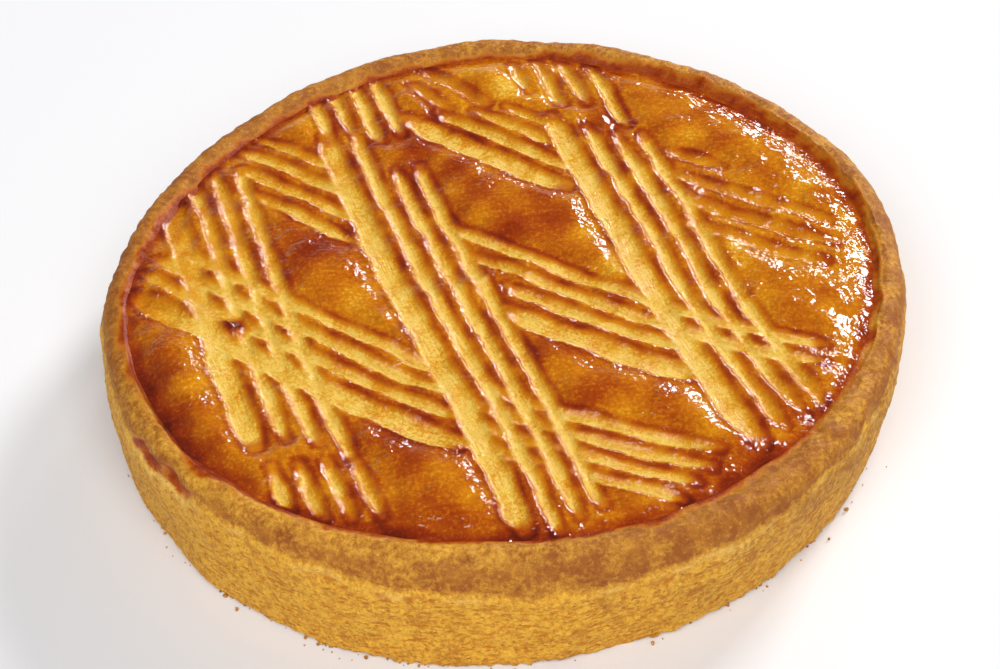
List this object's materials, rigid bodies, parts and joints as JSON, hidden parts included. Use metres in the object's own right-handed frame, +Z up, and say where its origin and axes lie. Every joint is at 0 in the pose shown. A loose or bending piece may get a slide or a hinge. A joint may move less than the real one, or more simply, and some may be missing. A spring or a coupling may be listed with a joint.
{
  "type": "basque cake",
  "caption": "Whole round filled butter cake with a glazed, fork-scored lid and a plain upright wall.",
  "frame": {"origin": "middle of the flat base, on the table", "axes": "+Z up, +Y away from the front of the cake, +X to its right"},
  "size_m": [0.2282, 0.225, 0.0413],
  "materials": {
    "baked_crust": "egg-washed, baked shortcrust: glossy amber glaze on the lid, matte golden wall"
  },
  "bodies": {
    "root": {"cake": "baked_crust"}
  },
  "joints": []
}
